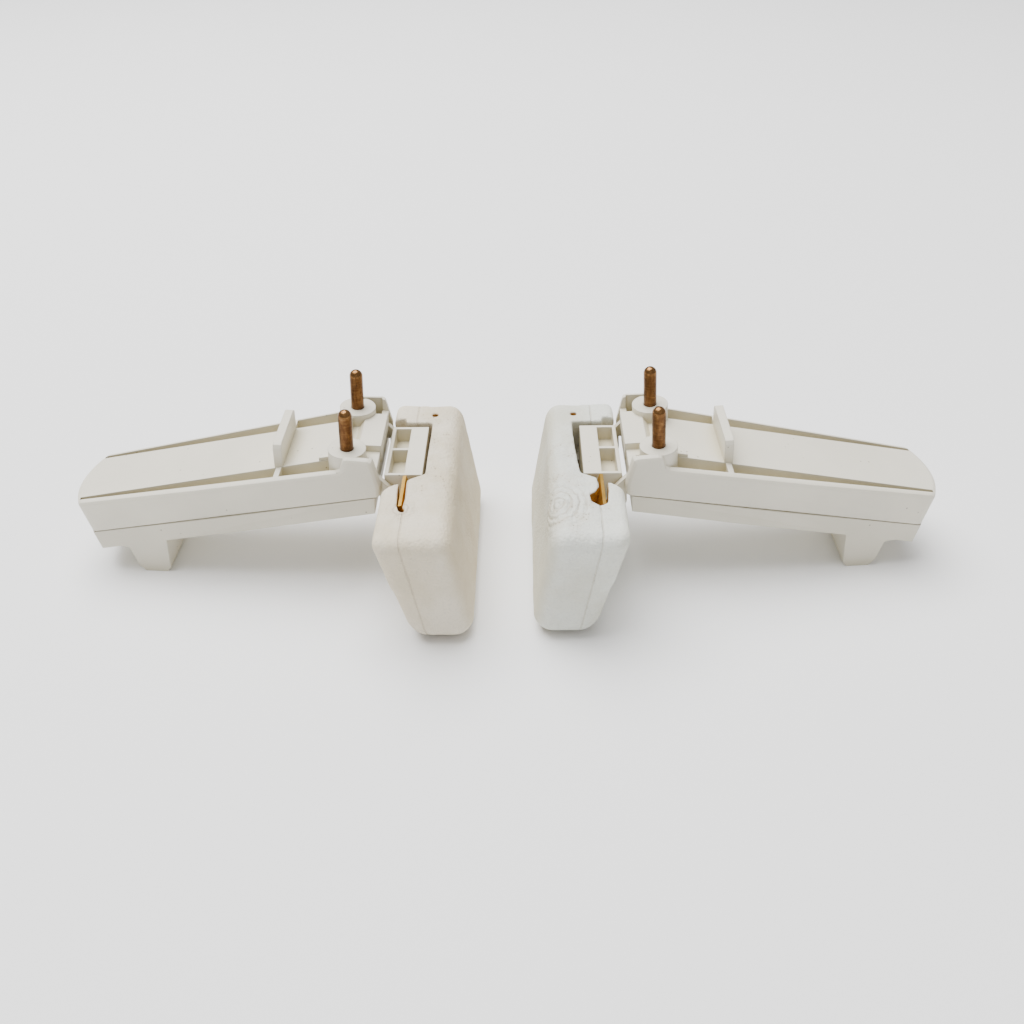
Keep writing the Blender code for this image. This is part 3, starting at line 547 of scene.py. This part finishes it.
def foam_pad(side, settings, quick):
    """One skinned foam pad: rounded block, notch, torn slit and vent hole, with a lumpy skin."""
    near = FOAM_LOW.y - (LEFT_NEAR_REACH if side == "left" else 0.0)
    block = rounded_block(settings.edge, near, FOAM_HIGH.y + FAR_REACH)
    skin = BVHTree.FromBMesh(block)
    name = side + "_foam_skin"
    piece = mesh_piece(name, block)
    top = FOAM_HIGH.z
    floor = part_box("right_pad_carrier")[0].z + 0.0085
    cut_with(piece, prism(notch_plan(side), floor - 0.0012, top + 0.01))
    cut_with(piece, prism([(-27.0, -15.0), (3.0, -15.0), (3.0, 12.4), (-27.0, 12.4)], floor - 0.0110, floor))
    cut_with(piece, prism(slit_plan(side), top - SLIT_DEPTH, top + 0.01))
    vent = Vector((ORIGIN.x - 0.0278, ORIGIN.y + 0.0212, top))
    bore = bmesh.new()
    bmesh.ops.create_cone(bore, cap_ends=True, segments=24, radius1=0.0011, radius2=0.0013, depth=0.010)
    bmesh.ops.translate(bore, verts=bore.verts, vec=vent)
    cut_with(piece, mesh_piece("cutter", bore))
    remesh = piece.modifiers.new("even", "REMESH")
    remesh.mode = "VOXEL"
    remesh.voxel_size = settings.grain * (1.6 if quick else 1.0)
    applied(piece)

    bm = bmesh.new()
    bm.from_mesh(piece.data)
    for _ in range(4):
        bmesh.ops.smooth_vert(bm, verts=bm.verts, factor=0.5, use_axis_x=True, use_axis_y=True, use_axis_z=True)
    bm.normal_update()
    depths = [skin.find_nearest(vertex.co)[3] for vertex in bm.verts]
    slit = slit_plan(side)
    shifts = []
    torn = []
    for vertex, depth in zip(bm.verts, depths):
        place = vertex.co
        lumps = noise.noise(place * 60.0) * 0.00022 + noise.noise(place * 210.0) * 0.00009
        groove = seam_groove(place)
        ridge = creases(place) if side == "right" else 0.0
        shifts.append(vertex.normal * (lumps + ridge - groove - 0.00012))
        local = ((place.x - ORIGIN.x) * 1000, (place.y - ORIGIN.y) * 1000)
        vented = math.hypot(place.x - vent.x, place.y - vent.y) < 0.0016
        inside = vented or near_outline(local, slit, 0.9) and place.z > top - 0.010
        torn.append(min(1.0, max(0.0, (depth - 0.0003) / 0.0005)) if inside else 0.0)
    for vertex, shift in zip(bm.verts, shifts):
        vertex.co += shift
    bm.to_mesh(piece.data)
    bm.free()
    layer = piece.data.attributes.new("core", "FLOAT", "POINT")
    layer.data.foreach_set("value", np.array(torn, np.float32))
    if side == "left":
        piece.data.transform(Matrix.Scale(-1, 4, (1, 0, 0)))
        piece.data.flip_normals()
    piece.data.shade_smooth()
    return piece


def near_outline(point, corners, margin):
    """Whether a point lies inside an outline, or within the margin of its sides."""
    x, y = point
    inside = False
    for (ax, ay), (bx, by) in zip(corners, corners[1:] + corners[:1]):
        if (ay > y) != (by > y) and x < (bx - ax) * (y - ay) / (by - ay) + ax:
            inside = not inside
        along = Vector((bx - ax, by - ay))
        share = max(0.0, min(1.0, Vector((x - ax, y - ay)).dot(along) / along.length_squared))
        if (Vector((ax, ay)) + along * share - Vector((x, y))).length < margin:
            return True
    return inside


def guide_pin(node):
    """A turned pin with a domed tip, leaning like the node that it stands for."""
    low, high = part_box(node)
    sign = -1 if node.startswith("left") else 1
    axis = Vector((-sign * math.sin(PIN_LEAN), 0, math.cos(PIN_LEAN)))
    radius = (high.y - low.y) / 2
    middle = Vector(((low.x + high.x) / 2, (low.y + high.y) / 2, (low.z + high.z) / 2))
    half = (high.z - low.z) / 2 / math.cos(PIN_LEAN) - radius * math.sin(PIN_LEAN) * 0.5
    half = min(half, PIN_HALF_LENGTH)
    profile = [(0.0, half)]
    for step in range(1, 13):
        angle = math.pi / 2 * step / 12
        profile.append((radius * math.sin(angle), half - radius * (1 - math.cos(angle))))
    profile += [(radius, 0.0), (radius, 0.0006 - half), (radius - 0.0005, -half), (0.0, -half)]
    bm = bmesh.new()
    corners = [bm.verts.new((across, 0.0, up)) for across, up in profile]
    edges = [bm.edges.new(pair) for pair in zip(corners, corners[1:])]
    bmesh.ops.spin(
        bm,
        geom=corners + edges,
        cent=(0, 0, 0),
        axis=(0, 0, 1),
        angle=2 * math.pi,
        steps=64,
        use_merge=True,
        use_duplicate=False,
    )
    bmesh.ops.remove_doubles(bm, verts=bm.verts, dist=1e-6)
    turn = Vector((0, 0, 1)).rotation_difference(axis).to_matrix().to_4x4()
    bmesh.ops.transform(bm, matrix=Matrix.Translation(middle) @ turn, verts=bm.verts)
    bmesh.ops.recalc_face_normals(bm, faces=bm.faces)
    piece = mesh_piece(node + "_turned", bm)
    piece.data.shade_smooth()
    piece.data.set_sharp_from_angle(angle=math.radians(40))
    return piece


class SUPPORT_OT_plastic(bpy.types.Operator):
    """Give the housings, covers and pad carriers their worn white plastic"""

    bl_idname = "support.plastic"
    bl_label = "White mouldings"

    def execute(self, context):
        settings = context.scene.support_plastic
        housing = worn_plastic("worn_housing_plastic", (1.0, 1.0, 1.0), settings)
        cover = worn_plastic("worn_cover_plastic", (0.92, 0.915, 0.90), settings)
        for side in SIDES:
            put_material(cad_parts[side + "_upper_housing"], housing)
            put_material(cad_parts[side + "_pad_carrier"], housing)
            put_material(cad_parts[side + "_lower_cover"], cover)
        return {"FINISHED"}


class SUPPORT_OT_hardware(bpy.types.Operator):
    """Plate the screws, hinge pins, springs and insert plates"""

    bl_idname = "support.hardware"
    bl_label = "Screws, hinges and inserts"

    def execute(self, context):
        zinc = plated_metal("zinc_plate", (0.60, 0.60, 0.58), 0.30)
        yellow = plated_metal("yellow_passivate", (0.72, 0.44, 0.10), 0.38)
        for side in SIDES:
            for part in (
                "inner_cover_screw",
                "outer_cover_screw",
                "front_carrier_screw",
                "rear_carrier_screw",
                "hinge_pin",
                "hinge_spring",
            ):
                put_material(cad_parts[side + "_" + part], zinc)
            put_material(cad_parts[side + "_pad_insert_plate"], yellow)
        return {"FINISHED"}


class SUPPORT_OT_pins(bpy.types.Operator):
    """Turn the four guide pins in tarnished brass"""

    bl_idname = "support.pins"
    bl_label = "Guide pins"

    def execute(self, context):
        brass = tarnished_brass(context.scene.support_brass)
        for side in SIDES:
            for which in ("front", "rear"):
                node = side + "_" + which + "_guide_pin"
                piece = guide_pin(node)
                put_material(piece, brass)
                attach(piece, side + "_arm")
                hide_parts(node)
        return {"FINISHED"}


class SUPPORT_OT_pads(bpy.types.Operator):
    """Mould the two foam pads with their notches, torn slits and vent holes"""

    bl_idname = "support.pads"
    bl_label = "Foam pads"

    def execute(self, context):
        settings = context.scene.support_foam
        skins = {"left": tuple(settings.cream), "right": tuple(settings.white)}
        worn = {
            "left": (
                ((-20.5, -38.5), 0.0042),
                ((-28.0, 20.0), 0.0060),
                ((-30.0, 0.0), 0.0090),
                ((-33.0, -22.0), 0.0110),
            ),
            "right": (
                ((-35.5, -36.0), 0.0105),
                ((-22.0, -36.0), 0.0055),
                ((-30.0, -40.0), 0.0110),
                ((-36.0, -20.0), 0.0110),
                ((-36.0, -4.0), 0.0090),
            ),
        }
        for side, sign in SIDES.items():
            tears = []
            for (x, y), radius in worn[side]:
                centre = (sign * (ORIGIN.x + x / 1000), ORIGIN.y + y / 1000, FOAM_HIGH.z - 0.001)
                tears.append((centre, radius))
            piece = foam_pad(side, settings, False)
            put_material(piece, skinned_foam(side, skins[side], tuple(settings.core), tears))
            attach(piece, side + "_pad")
            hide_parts(side + "_pad_foam")
        return {"FINISHED"}


class SUPPORT_OT_stage(bpy.types.Operator):
    """Set up the pale table, the soft lights and the camera"""

    bl_idname = "support.stage"
    bl_label = "Table, light and camera"

    def execute(self, context):
        settings = context.scene.support_stage
        bm = bmesh.new()
        bmesh.ops.create_grid(bm, x_segments=1, y_segments=1, size=3.0)
        floor = mesh_piece("table_top", bm)
        look = Look("pale_table")
        tone = look.noise(3.0, 2.0)
        plain = tuple(settings.floor)
        colour = look.blend(look.band(tone, 0.3, 0.7), plain, tuple(channel * 0.99 for channel in plain))
        put_material(floor, look.finish(colour, 0.6, None, None, Specular_IOR_Level=0.1))

        world = bpy.data.worlds.new("studio")
        world.use_nodes = True
        background = world.node_tree.nodes["Background"]
        background.inputs["Color"].default_value = (1.0, 1.0, 1.0, 1.0)
        background.inputs["Strength"].default_value = settings.fill
        context.scene.world = world

        softbox("overhead_softbox", settings.key, 2.0, (-0.45, 0.55, 2.0), settings.shadows)
        softbox("front_softbox", settings.key * 0.006, 0.9, (0.15, -1.1, 0.75), settings.shadows)

        camera = bpy.data.cameras.new("camera")
        camera.sensor_width = 36.0
        camera.lens = 33.40
        camera.clip_start = 0.01
        holder = bpy.data.objects.new("camera", camera)
        context.scene.collection.objects.link(holder)
        down = math.radians(37.20)
        tilt = Matrix.Rotation(math.pi / 2 - down, 4, "X")
        turn = Matrix.Rotation(math.radians(1.10), 4, "Z")
        roll = Matrix.Rotation(math.radians(-1.15), 4, "Z")
        holder.matrix_world = Matrix.Translation((0.0082, -0.2774, 0.2340)) @ turn @ tilt @ roll
        context.scene.camera = holder
        return {"FINISHED"}


def softbox(name, power, size, place, shadows):
    light = bpy.data.lights.new(name, "AREA")
    light.energy = power
    light.shape = "SQUARE"
    light.size = size
    light.use_shadow = shadows
    lamp = bpy.data.objects.new(name, light)
    lamp.location = place
    lamp.rotation_euler = (Vector((0, 0, 0.02)) - Vector(place)).to_track_quat("-Z", "Y").to_euler()
    bpy.context.scene.collection.objects.link(lamp)


class SUPPORT_PT_panel(bpy.types.Panel):
    """Steps that finish the support arms"""

    bl_label = "Support Arms"
    bl_space_type = "VIEW_3D"
    bl_region_type = "UI"
    bl_category = "Support Arms"

    def draw(self, context):
        for step in OPERATORS:
            self.layout.operator(step.bl_idname)
        for group in GROUPS:
            settings = getattr(context.scene, group)
            box = self.layout.box()
            for name in settings.__annotations__:
                box.prop(settings, name)


GROUPS = {
    "support_plastic": PlasticSettings,
    "support_foam": FoamSettings,
    "support_brass": BrassSettings,
    "support_stage": StageSettings,
}
OPERATORS = (SUPPORT_OT_plastic, SUPPORT_OT_hardware, SUPPORT_OT_pins, SUPPORT_OT_pads, SUPPORT_OT_stage)


def register():
    for kind in (*GROUPS.values(), *OPERATORS, SUPPORT_PT_panel):
        bpy.utils.register_class(kind)
    for name, kind in GROUPS.items():
        setattr(bpy.types.Scene, name, PointerProperty(type=kind))


def unregister():
    for name in GROUPS:
        delattr(bpy.types.Scene, name)
    for kind in reversed((*GROUPS.values(), *OPERATORS, SUPPORT_PT_panel)):
        bpy.utils.unregister_class(kind)


def main():
    register()
    bpy.ops.support.plastic()
    bpy.ops.support.hardware()
    bpy.ops.support.pins()
    bpy.ops.support.pads()
    bpy.ops.support.stage()


if __name__ == "__main__":
    main()
